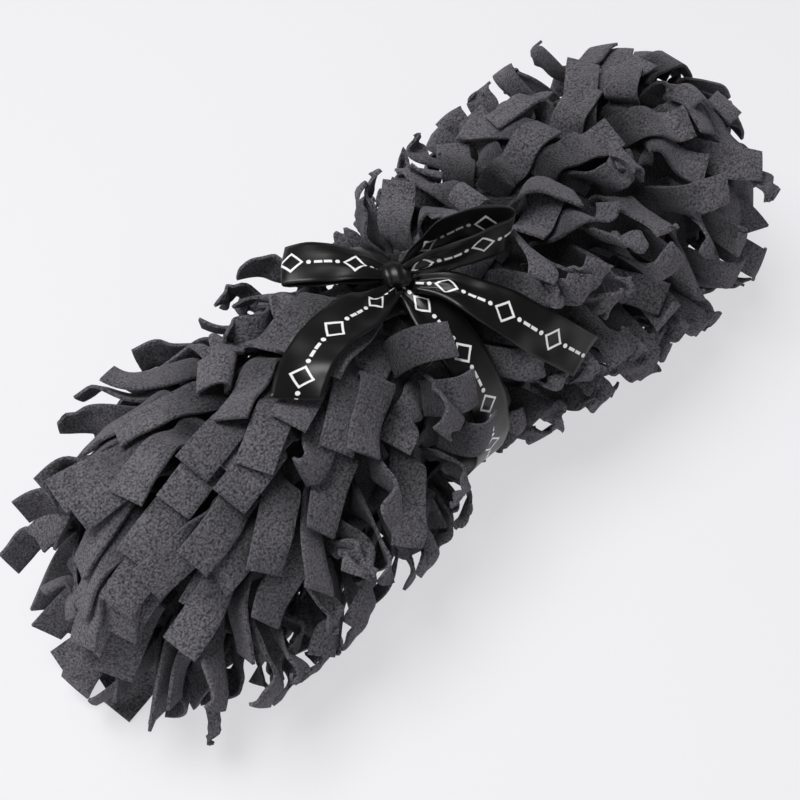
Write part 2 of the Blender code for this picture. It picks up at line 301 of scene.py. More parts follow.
# %% [markdown]
# ## The ribbon
# The tie is one black satin ribbon, 38 mm wide: a band round the waist, a knot, two loops and two free
# tails. It is made before the pile settles, because the pile has to lie under it. Each part is a sheet laid
# along a guide line that is given by a short table. Where the ribbon goes into the knot it is gathered, so
# its width folds into pleats.

# %% Lay a ribbon along a guide line
RIBBON_THICKNESS = 0.0006
RIBBON_COLUMNS = 13
RIBBON_STEP = 0.0035
PLEATS, PLEAT_HEIGHT, PLEAT_SHIFT = 2.5, 0.0040, 0.9
EDGE_LIFT = 0.0010
SLANT_REACH = 0.03
KNOT = np.array([WAIST_X, AXIS_Y + 0.004, 0.2400])


def smooth_through(rows, step):
    """Rows on a smooth curve through the given ones, about a step apart by their first three columns."""
    rows = np.array(rows, dtype=float)
    ends = np.vstack([2 * rows[0] - rows[1], rows, 2 * rows[-1] - rows[-2]])
    line = []
    for a, b, c, d in zip(ends, ends[1:], ends[2:], ends[3:]):
        count = max(2, round(np.linalg.norm((c - b)[:3]) / step))
        for t in np.arange(count) / count:
            square, cube = 2 * a - 5 * b + 4 * c - d, 3 * b - a - 3 * c + d
            line.append(0.5 * (2 * b + (c - a) * t + square * t**2 + cube * t**3))
    return np.array([*line, rows[-1]])


def add_numbers(obj, name, values):
    """Keeps one number for each point of obj, under a name that a material can read."""
    numbers = obj.data.attributes.new(name, "FLOAT", "POINT")
    numbers.data.foreach_set("value", np.asarray(values, dtype=np.float32))


def lay_ribbon(name, guide, end_slant=0.0, closed=False):
    """Lays a ribbon along guide rows of place (3), face direction (3), width and wave, and measures it.

    Its far end may be cut at a slant. Its points keep how far along and across the flat ribbon they are.
    """
    places, faces, widths, waves = guide[:, :3], guide[:, 3:6], guide[:, 6], guide[:, 7]
    before = np.vstack([places[-2] if closed else places[0], places[:-1]])
    after = np.vstack([places[1:], places[1] if closed else places[-1]])
    run = np.concatenate([[0], np.cumsum(np.linalg.norm(np.diff(places, axis=0), axis=1))])
    shares = np.linspace(-0.5, 0.5, RIBBON_COLUMNS)
    rows, alongs, acrosses = [], [], []
    for i, place in enumerate(places):
        along = unit(after[i] - before[i])
        across = unit(np.cross(along, faces[i]))
        face = np.cross(across, along)
        gather = 1 - widths[i] / RIBBON_WIDTH
        slant = end_slant * max(0.0, 1 - (run[-1] - run[i]) / SLANT_REACH)
        row = []
        for share in shares:
            pleat = PLEAT_HEIGHT * gather * math.cos(2 * math.pi * PLEATS * share + PLEAT_SHIFT)
            roll = waves[i] * math.sin(math.pi * share) + EDGE_LIFT * (2 * share) ** 2
            row.append(place + across * widths[i] * share + face * (pleat + roll) + along * slant * share)
        rows.append(row)
        alongs.extend([run[i]] * RIBBON_COLUMNS)
        acrosses.extend(shares * RIBBON_WIDTH)
    sheet = grid_sheet(name, rows)
    add_numbers(sheet, "along", alongs)
    add_numbers(sheet, "across", acrosses)
    return sheet, run[-1]


# %% Tables for the loops
# Each loop leaves the knot on its heading and comes back. The columns are: out and side from the knot's
# middle, up above it, the lean of the ribbon's width from level in degrees, and the width.
FULL = RIBBON_WIDTH
LEFT_HEADING, RIGHT_HEADING = math.radians(134), math.radians(-29)
LEFT_LOOP = (
    (0.008, 0.000, 0.004, 0, 0.015),
    (0.022, 0.000, 0.011, -4, 0.026),
    (0.044, 0.000, 0.015, -7, 0.033),
    (0.066, 0.001, 0.017, -7, 0.037),
    (0.083, 0.001, 0.014, -4, FULL),
    (0.088, 0.001, 0.0105, -2, FULL),
    (0.082, 0.001, 0.007, 0, FULL),
    (0.064, 0.000, 0.0065, 2, 0.037),
    (0.042, 0.000, 0.006, 2, 0.032),
    (0.022, 0.000, 0.002, 0, 0.024),
    (0.008, 0.000, -0.002, 0, 0.015),
)
RIGHT_LOOP = (
    (0.008, 0.003, 0.002, 78, 0.013),
    (0.020, 0.009, 0.008, 84, 0.022),
    (0.042, 0.014, 0.016, 88, 0.032),
    (0.066, 0.013, 0.022, 88, 0.037),
    (0.085, 0.008, 0.024, 90, FULL),
    (0.094, 0.001, 0.024, 92, FULL),
    (0.088, -0.006, 0.024, 93, FULL),
    (0.066, -0.009, 0.022, 94, 0.037),
    (0.042, -0.008, 0.016, 94, 0.032),
    (0.020, -0.004, 0.009, 88, 0.022),
    (0.008, -0.002, 0.003, 82, 0.013),
)
print("the loops are given by", len(LEFT_LOOP), "and", len(RIGHT_LOOP), "rows")

# %% Tables for the tails
# Each tail starts under the knot and lies over the pile. The columns are: x, the angle round the roll from
# its top in degrees, the distance from the axis, the width, and how far its edges wave.
LEFT_TAIL = (
    (-0.038, 2.0, 0.1125, 0.015, 0.0),
    (-0.058, 3.5, 0.1190, 0.026, 0.001),
    (-0.080, 4.5, 0.1280, 0.035, 0.002),
    (-0.108, 5.0, 0.1345, FULL, -0.001),
    (-0.134, 7.0, 0.1360, FULL, -0.003),
    (-0.156, 11.0, 0.1355, FULL, 0.001),
    (-0.172, 15.5, 0.1350, FULL, 0.003),
)
RIGHT_TAIL = (
    (-0.022, 6.0, 0.1125, 0.015, 0.0),
    (-0.008, 16.0, 0.1195, 0.026, 0.001),
    (0.002, 27.0, 0.1240, 0.035, 0.002),
    (0.014, 38.0, 0.1270, FULL, 0.0),
    (0.027, 49.0, 0.1280, FULL, -0.003),
    (0.043, 60.0, 0.1300, FULL, -0.002),
    (0.059, 70.0, 0.1330, FULL, 0.002),
)
LEFT_SLANT, RIGHT_SLANT = 0.012, -0.010
print("the tails are given by", len(LEFT_TAIL), "and", len(RIGHT_TAIL), "rows")

# %% Lay the band, the loops and the tails
BAND_ROWS = 97
BAND_GAP = 0.0016
BAND_WAVE, BAND_WAVES = 0.0006, 3
BAND_GATHER, BAND_GATHERED = math.radians(24), 0.018


def loop_guide(heading, table):
    """Guide rows for a loop that leaves the knot on this heading and comes back to it."""
    ahead = np.array([math.cos(heading), math.sin(heading), 0])
    aside = np.array([-math.sin(heading), math.cos(heading), 0])
    upward = np.array([0, 0, 1.0])
    rows = []
    for out, side, up, lean, width in table:
        place = KNOT + ahead * out + aside * side + upward * up
        across = aside * math.cos(math.radians(lean)) + upward * math.sin(math.radians(lean))
        rows.append([*place, *across, width, 0.0])
    guide = smooth_through(rows, RIBBON_STEP)
    for i in range(len(guide)):
        along = guide[min(i + 1, len(guide) - 1), :3] - guide[max(i - 1, 0), :3]
        guide[i, 3:6] = unit(np.cross(guide[i, 3:6], along))
    return guide


def tail_guide(table):
    """Guide rows for a tail that lies over the pile."""
    rows = []
    for x, degrees, radius, width, wave in table:
        angle = math.radians(degrees)
        rows.append([*around_axis(x, angle, radius), 0, -math.sin(angle), math.cos(angle), width, wave])
    return smooth_through(rows, RIBBON_STEP)


def band_guide():
    """Guide rows once round the waist, from the knot and back to it, gathered where they pass under it."""
    rows = []
    for angle in np.linspace(0, 2 * math.pi, BAND_ROWS):
        from_knot = min(angle, 2 * math.pi - angle)
        spread = min(1.0, from_knot / BAND_GATHER)
        spread = spread * spread * (3 - 2 * spread)
        radius = BAND_RADIUS + BAND_GAP + BAND_WAVE * math.sin(BAND_WAVES * angle) * spread
        width = BAND_GATHERED + (FULL - BAND_GATHERED) * spread
        rows.append([*around_axis(WAIST_X, angle, radius), 0, -math.sin(angle), math.cos(angle), width, 0.0])
    return np.array(rows)


ribbon_sheets = {
    "band": lay_ribbon("satin_band", band_guide(), closed=True),
    "loop_left": lay_ribbon("satin_loop_left", loop_guide(LEFT_HEADING, LEFT_LOOP)),
    "loop_right": lay_ribbon("satin_loop_right", loop_guide(RIGHT_HEADING, RIGHT_LOOP)),
    "tail_left": lay_ribbon("satin_tail_left", tail_guide(LEFT_TAIL), end_slant=LEFT_SLANT),
    "tail_right": lay_ribbon("satin_tail_right", tail_guide(RIGHT_TAIL), end_slant=RIGHT_SLANT),
}
for part, (sheet, length) in ribbon_sheets.items():
    print(f"{part}: {length * 1000:.0f} mm of ribbon")

# %% [markdown]
# ## The knot
# The knot is the same ribbon wrapped once, tightly, round the place where the loops and tails meet. It is a
# short barrel that lies in line with the loops, with slanting pleats round it. At each end it turns in to a
# point behind its rim, so it is closed.

# %% Wrap the knot
KNOT_HEADING = math.radians(143)
KNOT_HALF_LENGTH, KNOT_HALF_WIDTH, KNOT_HALF_HEIGHT = 0.0125, 0.0115, 0.0090
KNOT_TAPER, KNOT_RIM = 0.62, 0.55
KNOT_PLEAT, KNOT_PLEATS, KNOT_SLANT = 0.05, 3.0, 1.3
KNOT_AROUND = 41
KNOT_RINGS = np.linspace(-0.97, 0.97, 17)
barrel = [(share, math.sqrt(1 - KNOT_TAPER * abs(share) ** 3), KNOT_PLEAT) for share in KNOT_RINGS]
# Each ring is how far along the barrel it is, from -1 to 1, its size and the height of its pleats.
knot_rings = [(-0.80, 0.0, 0), (-1.0, KNOT_RIM, 0), *barrel, (1.0, KNOT_RIM, 0), (0.80, 0.0, 0)]
knot_along = np.array([math.cos(KNOT_HEADING), math.sin(KNOT_HEADING), 0])
knot_aside = np.array([-math.sin(KNOT_HEADING), math.cos(KNOT_HEADING), 0])
knot_up = np.array([0, 0, 1])
knot_rows = []
for share, size, pleat_height in knot_rings:
    row = []
    for angle in np.linspace(0, 2 * math.pi, KNOT_AROUND):
        pleat = 1 + pleat_height * math.cos(KNOT_PLEATS * math.pi * share + KNOT_SLANT * math.sin(angle))
        row.append(
            KNOT + knot_along * KNOT_HALF_LENGTH * share
            + knot_aside * KNOT_HALF_WIDTH * size * pleat * math.sin(angle)
            + knot_up * KNOT_HALF_HEIGHT * size * pleat * math.cos(angle)
        )
    knot_rows.append(row)
knot = grid_sheet("satin_knot", knot_rows)
close_seams(knot)
# The knot has no print: half a metre across is far off the printed row.
add_numbers(knot, "along", [0.0] * len(knot.data.vertices))
add_numbers(knot, "across", [0.5] * len(knot.data.vertices))
print("knot", len(knot.data.vertices), "points")

# %% [markdown]
# ## Settle the pile
# Fleece is soft but springy: a strip stands a little where it is sewn, then bends over and rests on its
# neighbours. Blender's Cloth does this for all the strips at once, with each one held at its sewn end. While
# they fall, the floor comes up under the roll, the ribbon's band closes on its waist, and copies of the
# bow's loops and tails come down on it, as in tying it. Two smooth slings also press the pile in from both
# sides and then open again, as hands do, so that the strips lie close and none is left sticking out.

# %% Helpers for the simulation
CLOTH_STEPS = 5
CLOTH_STIFFNESS, CLOTH_SHEAR, CLOTH_DAMPING = 15, 5, 0.5
TOUCH_GAP, TOUCH_CHECKS, TOUCH_GRIP = 0.002, 2, 5
THIN_WALL, THIN_TOUCH = 0.004, 0.001


def make_collider(obj, thickness, friction=TOUCH_GRIP):
    select_only(obj)
    bpy.ops.object.modifier_add(type="COLLISION")
    obj.collision.thickness_outer = thickness
    obj.collision.cloth_friction = friction


def move_steadily(obj, channel, *stops):
    """Keys obj's location or scale at each stop, a value and a frame, and moves it at one speed between."""
    for value, at_frame in stops:
        setattr(obj, channel, value)
        obj.keyframe_insert(channel, frame=at_frame)
    for curve in obj.animation_data.action.fcurves:
        for key in curve.keyframe_points:
            key.interpolation = "LINEAR"


def give_wall(obj, offset):
    """Solidifies obj, because cloth meets a wall more surely than a single sheet."""
    select_only(obj)
    bpy.ops.object.modifier_add(type="SOLIDIFY")
    wall = obj.modifiers[-1]
    wall.thickness, wall.offset = THIN_WALL, offset
    bpy.ops.object.modifier_apply(modifier=wall.name)


def settle(obj, frames, mass, bending, air, gap, held):
    """Runs Cloth on obj for some frames, with the held points fixed, and applies the result."""
    obj.vertex_groups.new(name="held").add(held, 1.0, "REPLACE")
    select_only(obj)
    bpy.ops.object.modifier_add(type="CLOTH")
    cloth = obj.modifiers[-1]
    feel, touch = cloth.settings, cloth.collision_settings
    feel.quality, feel.mass, feel.air_damping = CLOTH_STEPS, mass, air
    feel.tension_stiffness = feel.compression_stiffness = CLOTH_STIFFNESS
    feel.shear_stiffness, feel.bending_stiffness, feel.bending_damping = CLOTH_SHEAR, bending, CLOTH_DAMPING
    feel.vertex_group_mass, feel.pin_stiffness = "held", 1
    touch.use_collision, touch.distance_min, touch.collision_quality = True, TOUCH_GAP, TOUCH_CHECKS
    touch.use_self_collision, touch.self_distance_min, touch.self_friction = True, gap, TOUCH_GRIP
    scene = bpy.context.scene
    scene.frame_start, scene.frame_end = 1, frames
    cloth.point_cache.frame_start, cloth.point_cache.frame_end = 1, frames
    for at_frame in range(1, frames + 1):
        scene.frame_set(at_frame)
    select_only(obj)
    bpy.ops.object.modifier_apply(modifier=cloth.name)
    obj.vertex_groups.clear()


# %% Raise the floor under the roll
FLOOR_START, FLOOR_FRAMES = -0.09, 25
FLOOR_SPAN = 3
make_collider(base, TOUCH_GAP)
bpy.ops.object.select_all(action="DESELECT")
bpy.ops.mesh.primitive_plane_add(size=FLOOR_SPAN, location=(0, 0, 0))
rising_floor = bpy.context.object
make_collider(rising_floor, TOUCH_GAP)
move_steadily(rising_floor, "location", ((0, 0, FLOOR_START), 1), ((0, 0, 0), FLOOR_FRAMES))
print("the floor rises", -FLOOR_START, "in", FLOOR_FRAMES, "frames")

# %% Close a sling on each side
SLING_START, SLING_SLACK = 1.7, 1.08
SLING_CLOSED, SLING_OPENS, SLING_OPEN = 25, 30, 42
SLING_TABLE = (
    # x, radius
    (-0.42, 0.104), (-0.34, 0.116), (-0.28, 0.127), (-0.20, 0.132), (-0.12, 0.129), (-0.07, 0.112),
    (-0.03, 0.104), (0.01, 0.104), (0.06, 0.116), (0.14, 0.129), (0.22, 0.136), (0.28, 0.141),
    (0.34, 0.138), (0.42, 0.124),
)
SLING_FROM, SLING_TO, SLING_ACROSS = 26, 150, 18
SLING_LIP_FROM, SLING_LIP, SLING_LIP_CURVE = math.radians(62), 1.1, 1.5

slings = []
for side in (1, -1):
    turns = np.radians(np.linspace(SLING_FROM, SLING_TO, SLING_ACROSS))[::side]
    shares = [max(0.0, SLING_LIP_FROM - turn) / SLING_LIP_FROM for turn in turns]
    lips = [1 + SLING_LIP * share**SLING_LIP_CURVE for share in shares]
    sling = grid_sheet(f"sling_{side}", [
        [
            (x, -side * radius * lip * math.sin(turn), radius * lip * math.cos(turn))
            for turn, lip in zip(turns, lips)
        ]
        for x, radius in SLING_TABLE
    ])
    give_wall(sling, 1)
    sling.location = (0, AXIS_Y, AXIS_Z)
    make_collider(sling, THIN_TOUCH, friction=0)
    move_steadily(
        sling, "scale",
        ((1, SLING_START, SLING_START), 1), ((1, 1, 1), SLING_CLOSED),
        ((1, 1, 1), SLING_OPENS), ((1, SLING_SLACK, SLING_SLACK), SLING_OPEN),
    )
    slings.append(sling)
print("slings of", len(SLING_TABLE), "by", SLING_ACROSS, "points")

# %% Close the band on the waist and let the bow down
BAND_START, TIE_FRAMES = 1.85, 30
BAND_ROOM = 0.002
BOW_START = 0.085
BOW_THICKNESS = 0.0025
bpy.ops.object.select_all(action="DESELECT")
bpy.ops.mesh.primitive_cylinder_add(
    vertices=AROUND, radius=BAND_RADIUS + BAND_ROOM, depth=RIBBON_WIDTH, end_fill_type="NOTHING",
    location=(WAIST_X, AXIS_Y, AXIS_Z), rotation=(0, math.pi / 2, 0),
)
closing_band = bpy.context.object
give_wall(closing_band, 0)
make_collider(closing_band, THIN_TOUCH)
move_steadily(closing_band, "scale", ((BAND_START, BAND_START, 1), 1), ((1, 1, 1), TIE_FRAMES))

falling = []
for part in ("loop_left", "loop_right", "tail_left", "tail_right"):
    sheet = ribbon_sheets[part][0].copy()
    sheet.data = sheet.data.copy()
    bpy.context.scene.collection.objects.link(sheet)
    make_collider(sheet, BOW_THICKNESS, friction=1)
    sheet.collision.use_culling = False
    move_steadily(sheet, "location", ((0, 0, BOW_START), 1), ((0, 0, 0), TIE_FRAMES))
    falling.append(sheet)
print("the band closes and", len(falling), "parts of the bow come down in", TIE_FRAMES, "frames")

# %% Settle the pile
SETTLE_FRAMES = 55
FLEECE_MASS, FLEECE_BENDING, FLEECE_AIR, FLEECE_GAP = 0.03, 1.1, 10, 0.0028
HELD_ROWS = 2
per_strip = STRIP_ROWS * STRIP_COLUMNS
held_each = range(HELD_ROWS * STRIP_COLUMNS)
held = [number * per_strip + point for number in range(len(sewn)) for point in held_each]
settle(pile, SETTLE_FRAMES, FLEECE_MASS, FLEECE_BENDING, FLEECE_AIR, FLEECE_GAP, held)
settled = np.array([vertex.co[:] for vertex in pile.data.vertices])
print("settled pile", settled.min(0).round(4), settled.max(0).round(4))
for helper in (rising_floor, closing_band, *slings, *falling):
    bpy.data.objects.remove(helper)
bpy.context.scene.frame_set(1)

# %% [markdown]
# ## Tidy the pile
# This tidies what falling leaves untidy, as a hand would. Strips that stand too far out are drawn in, more
# the further out they are, and the roll's ends are kept round. Corners that come through the ribbon, or lie
# just over it, go under it.

# %% Draw in the strays
TIDY_MIDDLE, TIDY_LENGTH = -0.006, 0.371
TIDY_WIDTH, TIDY_RADIUS = 0.131, 0.140
TIDY_ROUNDING, TIDY_ROUNDNESS = 0.430, 10
TIDY_ROOM = 0.010


def drawn_in(distance, limit):
    """The distances, with what is past the limit drawn in to at most TIDY_ROOM past it."""
    return np.minimum(distance, limit) + TIDY_ROOM * np.tanh(np.maximum(distance - limit, 0) / TIDY_ROOM)


lengthways = settled[:, 0] - TIDY_MIDDLE
settled[:, 0] = TIDY_MIDDLE + np.sign(lengthways) * drawn_in(np.abs(lengthways), TIDY_LENGTH)
end_share = np.abs(settled[:, 0] - TIDY_MIDDLE) / TIDY_ROUNDING
sideways = settled[:, 1] - AXIS_Y
width_here = TIDY_WIDTH * (1 - end_share**TIDY_ROUNDNESS)
settled[:, 1] = AXIS_Y + np.sign(sideways) * drawn_in(np.abs(sideways), width_here)
above = settled[:, 2] > AXIS_Z
off_axis = settled[above, 1:] - (AXIS_Y, AXIS_Z)
stands = np.linalg.norm(off_axis, axis=1, keepdims=True)
settled[above, 1:] = (AXIS_Y, AXIS_Z) + off_axis * drawn_in(stands, TIDY_RADIUS) / stands
print(int((stands > TIDY_RADIUS).sum()), "points drawn in towards the axis")

# %% Tuck the strips under the ribbon
TUCK_ROOM, TUCK_REACH = 0.0030, 0.006


def tuck_under(points, sheet):
    """Moves points that lie less than TUCK_REACH over the sheet, or close under it, to TUCK_ROOM under."""
    surface = BVHTree.FromPolygons(
        [vertex.co for vertex in sheet.data.vertices], [face.vertices for face in sheet.data.polygons]
    )
    tucked = 0
    for i, point in enumerate(points):
        outward = Vector((0, point[1] - AXIS_Y, point[2] - AXIS_Z)).normalized()
        start = Vector(point) - outward * TUCK_REACH
        hit = surface.ray_cast(start, outward, TUCK_REACH + TUCK_ROOM)[0]
        if hit:
            points[i] = hit - outward * TUCK_ROOM
            tucked += 1
    return tucked


for part in ("band", "loop_left", "tail_left", "tail_right"):
    print(tuck_under(settled, ribbon_sheets[part][0]), "points tucked under", part)

# %% [markdown]
# ## Fold some strips over the band
# The strips nearest the tie fall back over the ribbon's edges, which the closing band could not let them do.
# A few that are sewn close to it are therefore laid one by one: up through the pile, over, and down on to the
# band, along a curve with two handles, as in any drawing program.

# %% Lay the folded strips
# Each row is where a strip is sewn and where its tip lies: x, and degrees round the roll from its top.
FOLDED_STRIPS = (
    (-0.078, 23, -0.030, 33),
    (-0.074, 46, -0.035, 55),
    (-0.072, 66, -0.031, 78),
)
FOLD_RISE, FOLD_LIFT, FOLD_GAP = 0.047, 0.011, 0.0046
RISE_RUN, RISE_TURN = 0.05, 0.2  # how far on the first handle is, as shares of the way to the tip
LIFT_RUN, LIFT_TURN = 0.45, 0.5  # how far back from the tip the second one is
FOLD_POINTS = 60
FLOOR_GAP = 0.0004


def folded_strip(sewn_x, sewn_degrees, tip_x, tip_degrees):
    """Rows of points for a strip that rises from the base and comes down with its tip on the band."""
    run, turn = tip_x - sewn_x, tip_degrees - sewn_degrees
    root, rest = float(base_radius(sewn_x)) + STITCH_HEIGHT, BAND_RADIUS + FOLD_GAP
    handles = np.array([
        (sewn_x, sewn_degrees, root),
        (sewn_x + RISE_RUN * run, sewn_degrees + RISE_TURN * turn, root + FOLD_RISE),
        (tip_x - LIFT_RUN * run, tip_degrees - LIFT_TURN * turn, rest + FOLD_LIFT),
        (tip_x, tip_degrees, rest),
    ])
    shares = np.linspace(0, 1, FOLD_POINTS)[:, None]
    curve = (1 - shares) ** 3 * handles[0] + 3 * (1 - shares) ** 2 * shares * handles[1]
    curve = curve + 3 * (1 - shares) * shares**2 * handles[2] + shares**3 * handles[3]
    line = np.array([around_axis(x, math.radians(degrees), radius) for x, degrees, radius in curve])
    run_along = np.concatenate([[0], np.cumsum(np.linalg.norm(np.diff(line, axis=0), axis=1))])
    stops = np.linspace(0, run_along[-1], STRIP_ROWS)
    middle = np.array([np.interp(stops, run_along, line[:, axis]) for axis in range(3)]).T
    out_at_tip = around_axis(0, math.radians(tip_degrees), 1.0) - around_axis(0, 0, 0.0)
    across = unit(np.cross(middle[-1] - middle[0], out_at_tip))
    offsets = STRIP_WIDTH * (np.arange(STRIP_COLUMNS) / (STRIP_COLUMNS - 1) - 0.5)
    return middle[:, None, :] + across * offsets[:, None], run_along[-1]


roots = np.array([place[0] for place in sewn])
for row in FOLDED_STRIPS:
    points, length = folded_strip(*row)
    nearest = int(np.argmin(np.linalg.norm(roots - points[0, 1], axis=1)))
    roots[nearest] = math.inf
    settled[nearest * per_strip:(nearest + 1) * per_strip] = points.reshape(-1, 3)
    print(f"strip {nearest} folded over the band, {1000 * length:.0f} mm long")
settled[:, 2] = np.maximum(settled[:, 2], STRIP_THICKNESS / 2 + FLOOR_GAP)
pile.data.vertices.foreach_set("co", settled.reshape(-1))

# %% [markdown]
# ## Crease the ribbon
# Satin keeps soft creases from the reel and from tying. Two slow waves that cross at a slant, a millimetre
# high, are enough to break up its highlights. The knot and the gathered ends already have their pleats.

# %% Add soft creases to the loops, the tails and the band
CREASE_HEIGHT = {
    "band": 0.0005, "loop_left": 0.0010, "loop_right": 0.0012, "tail_left": 0.0011, "tail_right": 0.0011,
}
LONG_CREASE, LONG_SLANT, LONG_SHARE = 0.047, 0.8, 0.65
SHORT_CREASE, SHORT_SLANT, SHORT_SHARE = 0.029, 0.5, 0.35
SHORT_SHIFT = 1.0
CREASE_FADE = 0.03


def crease(sheet, height, length):
    """Moves the sheet's points in and out along its normals in two crossing waves that fade at its ends."""
    for vertex, along, across in zip(
        sheet.data.vertices, sheet.data.attributes["along"].data, sheet.data.attributes["across"].data
    ):
        slow = math.sin(2 * math.pi * (along.value + LONG_SLANT * across.value) / LONG_CREASE)
        fast = math.sin(2 * math.pi * (along.value - SHORT_SLANT * across.value) / SHORT_CREASE + SHORT_SHIFT)
        fade = max(0.0, min(1.0, along.value / CREASE_FADE, (length - along.value) / CREASE_FADE))
        vertex.co += vertex.normal * height * fade * (LONG_SHARE * slow + SHORT_SHARE * fast)
    sheet.data.update()


for part, height in CREASE_HEIGHT.items():
    crease(ribbon_sheets[part][0], height, ribbon_sheets[part][1])
print("creases up to", 1000 * max(CREASE_HEIGHT.values()), "mm")

# %% [markdown]
# ## The wound ends
# At each end the edges of the mat's turns show between the strips, as a spiral. A spiral could be a strip of
# its own, wound up. A shallow spiral groove in a disc looks the same here: rings of points run in from the
# rim to the middle, and each point lies deeper the nearer it is to the gap between two turns.

# %% Close the base with its wound ends
TURN_PITCH = 0.013
TURN_GROOVE = 0.005
END_RINGS = 14


def wound_end(name, x, rim_radius, outward):
    """The spiral end of the base at x. It faces along X in the direction outward, 1 or -1."""
    rows = []
    for radius in np.linspace(rim_radius, 0, END_RINGS + 1):
        fade = min(1.0, radius / TURN_PITCH, (rim_radius - radius) / (TURN_PITCH / 2))
        grooves = [0.5 + 0.5 * math.cos(2 * math.pi * radius / TURN_PITCH - angle) for angle in angles]
        rows.append([
            around_axis(x - outward * TURN_GROOVE * fade * groove**2, angle, radius, BASE_FLATNESS)
            for angle, groove in zip(angles, grooves)
        ])
    return grid_sheet(name, rows)


wound_ends = [
    wound_end(f"wound_end_{side}", BASE_TABLE[row, 0], BASE_TABLE[row, 1], outward)
    for side, row, outward in (("left", 0, -1), ("right", -1, 1))
]
for modifier in list(base.modifiers):
    base.modifiers.remove(modifier)
select_only(base, *wound_ends)
bpy.ops.object.join()
close_seams(base)
print("closed wound base", len(base.data.polygons), "faces")

# %% [markdown]
# ## Give the strips their thickness
# The settled strips are sheets with no thickness. They are parted into a few pieces that are easy to handle,
# and Solidify and a small Bevel give each strip its body and the soft edge that cut fleece has.

# %% Part the pile
PIECE_STRIPS = 140


def part_off(obj, points):
    """Parts the first so many points of obj off as an object of their own."""
    mesh = obj.data
    chosen = np.zeros(len(mesh.vertices), bool)
    chosen[:points] = True
    mesh.vertices.foreach_set("select", chosen)
    face_corners = np.empty(len(mesh.polygons) * 4, int)
    mesh.polygons.foreach_get("vertices", face_corners)
    mesh.polygons.foreach_set("select", chosen[face_corners.reshape(-1, 4)].all(1))
    edge_ends = np.empty(len(mesh.edges) * 2, int)
    mesh.edges.foreach_get("vertices", edge_ends)
    mesh.edges.foreach_set("select", chosen[edge_ends.reshape(-1, 2)].all(1))
    select_only(obj)
    bpy.ops.object.mode_set(mode="EDIT")
    bpy.ops.mesh.separate(type="SELECTED")
    bpy.ops.object.mode_set(mode="OBJECT")
    return next(other for other in bpy.context.selected_objects if other != obj)


pieces = []
for first in range(0, len(sewn), PIECE_STRIPS):
    lengths = [place[3] for place in sewn[first:first + PIECE_STRIPS]]
    last = first + PIECE_STRIPS >= len(sewn)
    piece = pile if last else part_off(pile, PIECE_STRIPS * per_strip)
    piece.name = piece.data.name = f"fleece_strips_{len(pieces) + 1}"
    pieces.append((piece, sum(lengths)))
    print(f"{piece.name}: {len(lengths)} strips, {pieces[-1][1]:.2f} m long end to end")

# %% Thicken the strips
STRIP_EDGE = 0.0007
EDGE_ANGLE = math.radians(60)


def thicken(sheet, thickness):
    """Gives a sheet its thickness, half on each side."""
    select_only(sheet)
    bpy.ops.object.modifier_add(type="SOLIDIFY")
    body = sheet.modifiers[-1]
    body.thickness, body.offset = thickness, 0
    bpy.ops.object.modifier_apply(modifier=body.name)


for piece, cut_length in pieces:
    select_only(piece)
    bpy.ops.object.shade_smooth()
    bpy.ops.object.modifier_add(type="SUBSURF")
    smoother = piece.modifiers[-1]
    smoother.levels = smoother.render_levels = 1
    smoother.boundary_smooth = "PRESERVE_CORNERS"
    bpy.ops.object.modifier_apply(modifier=smoother.name)
    thicken(piece, STRIP_THICKNESS)
    bpy.ops.object.modifier_add(type="BEVEL")
    soft = piece.modifiers[-1]
    soft.width, soft.segments = STRIP_EDGE, 1
    soft.limit_method, soft.angle_limit = "ANGLE", EDGE_ANGLE
    bpy.ops.object.modifier_apply(modifier=soft.name)
    piece.data.calc_loop_triangles()
    print(piece.name, len(piece.data.loop_triangles), "triangles")

# %% Thicken the ribbon
close_seams(ribbon_sheets["band"][0])
for sheet, length in ribbon_sheets.values():
    select_only(sheet)
    bpy.ops.object.shade_smooth()
    thicken(sheet, RIBBON_THICKNESS)
select_only(knot)
bpy.ops.object.shade_smooth()
print("ribbon", 1000 * RIBBON_THICKNESS, "mm thick")

# %% [markdown]
# ## Colours and nodes
# Colours are written as sRGB hex values, as in any paint program, and one function turns them to the linear
# values that the shader wants. Another adds a node with its settings and its links, so that a material reads
# as a recipe.

# %% Helpers for materials


def hex_colour(code):
    """A linear colour, with alpha, from an sRGB hex value."""
    channels = [int(code[at:at + 2], 16) / 255 for at in (1, 3, 5)]
    return [c / 12.92 if c <= 0.04045 else ((c + 0.055) / 1.055) ** 2.4 for c in channels] + [1.0]


def new_material(name):
    """A material with an empty node tree, and that tree."""
    material = bpy.data.materials.new(name)
    material.use_nodes = True
    material.node_tree.nodes.clear()
    return material, material.node_tree


def add_node(tree, kind, inputs=None, **properties):
    """Adds a node of this kind. An input is given a number, a colour, or another node's output."""
    node = tree.nodes.new(kind)
    for name, value in properties.items():
        setattr(node, name, value)
    for name, value in (inputs or {}).items():
        if isinstance(value, bpy.types.NodeSocket):
            tree.links.new(value, node.inputs[name])
        else:
            node.inputs[name].default_value = value
    return node


def finish_material(tree, shader):
    add_node(tree, "ShaderNodeOutputMaterial", {"Surface": shader.outputs["BSDF"]})
    print("a material of", len(tree.nodes), "nodes")
